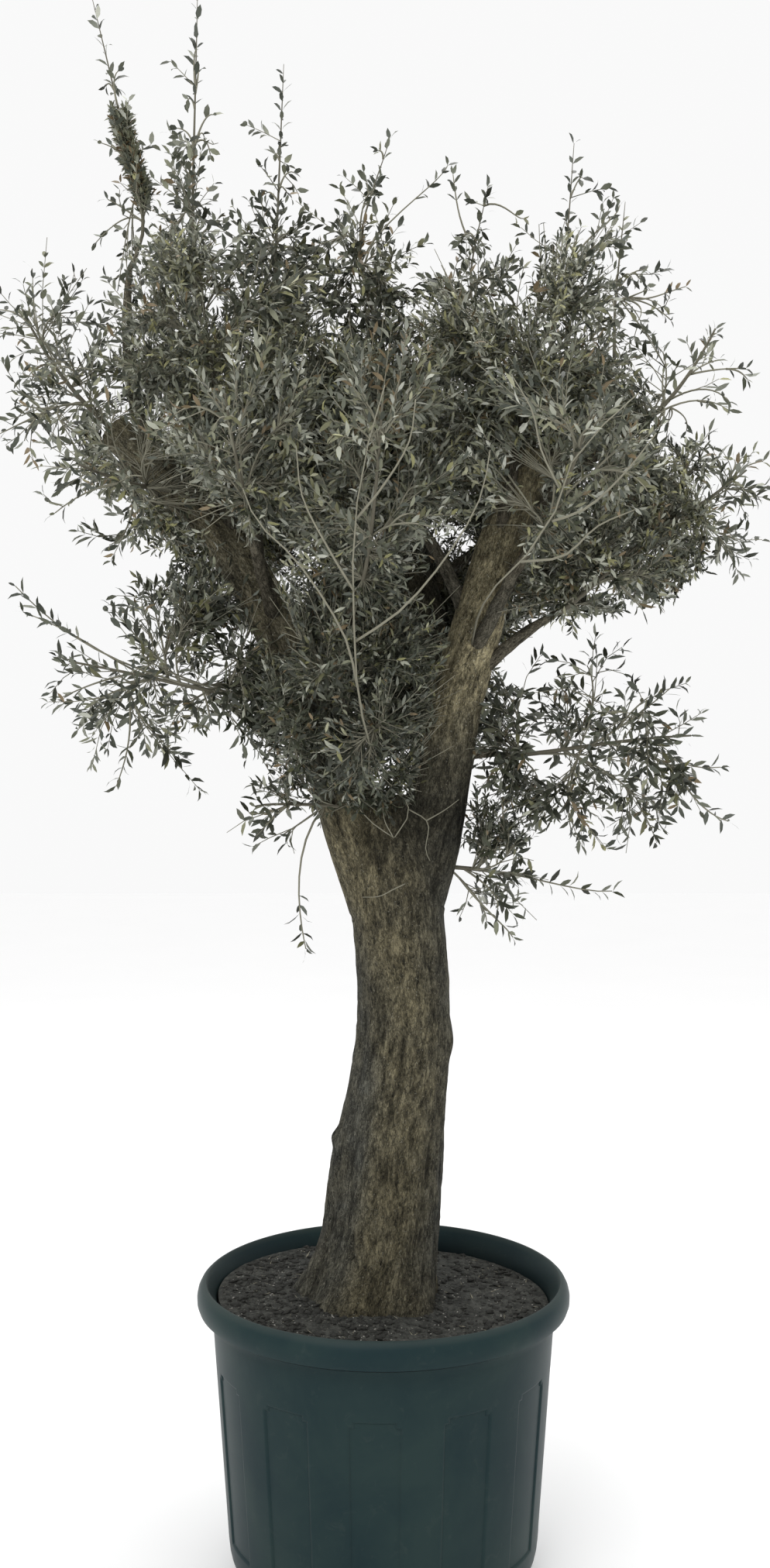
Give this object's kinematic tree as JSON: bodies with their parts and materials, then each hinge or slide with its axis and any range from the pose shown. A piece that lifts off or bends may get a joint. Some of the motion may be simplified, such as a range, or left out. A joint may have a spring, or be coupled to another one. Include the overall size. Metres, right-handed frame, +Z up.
{
  "type": "potted olive tree",
  "caption": "Olive tree in a round ribbed nursery pot: a leaning trunk forks low into sawn boughs that carry thin branches and open masses of narrow grey-green leaves.",
  "frame": {"origin": "centre of the pot's flat underside", "axes": "+Z up along the pot's axis, -Y towards the front of the tree, +X to the right as seen from the front"},
  "size_m": [1.8414, 1.4076, 3.6657],
  "materials": {
    "pot": "scuffed satin",
    "soil": "rough granular",
    "bark": "rough fissured bark",
    "foliage": "leathery leaves"
  },
  "bodies": {
    "root": {"bough_back": "bark", "bough_left": "bark", "bough_right": "bark", "bough_to_back_left": "bark", "bough_to_back_low": "bark", "bough_to_back_right": "bark", "bough_to_centre": "bark", "bough_to_crest_centre": "bark", "bough_to_crest_far_right": "bark", "bough_to_crest_left": "bark", "bough_to_crest_mid_left": "bark", "bough_to_crest_mid_right": "bark", "bough_to_crown_left": "bark", "bough_to_crown_right": "bark", "bough_to_far_right": "bark", "bough_to_front_centre": "bark", "bough_to_front_left": "bark", "bough_to_front_right": "bark", "bough_to_lower_left": "bark", "bough_to_lower_right": "bark", "bough_to_shoulder_left": "bark", "bough_to_shoulder_right": "bark", "bough_to_spire_left": "bark", "bough_to_under_right": "bark", "foliage_back_centre": "foliage", "foliage_back_left": "foliage", "foliage_back_low": "foliage", "foliage_back_right": "foliage", "foliage_centre": "foliage", "foliage_crest_centre": "foliage", "foliage_crest_far_right": "foliage", "foliage_crest_left": "foliage", "foliage_crest_mid_left": "foliage", "foliage_crest_mid_right": "foliage", "foliage_crest_right": "foliage", "foliage_crown_left": "foliage", "foliage_crown_right": "foliage", "foliage_far_left": "foliage", "foliage_far_right": "foliage", "foliage_front_centre": "foliage", "foliage_front_left": "foliage", "foliage_front_right": "foliage", "foliage_heart": "foliage", "foliage_knot_left": "foliage", "foliage_knot_right": "foliage", "foliage_lower_left": "foliage", "foliage_lower_right": "foliage", "foliage_shoulder_left": "foliage", "foliage_shoulder_right": "foliage", "foliage_spire_left": "foliage", "foliage_under_right": "foliage", "pot": "pot", "soil": "soil", "trunk": "bark"}
  },
  "joints": []
}
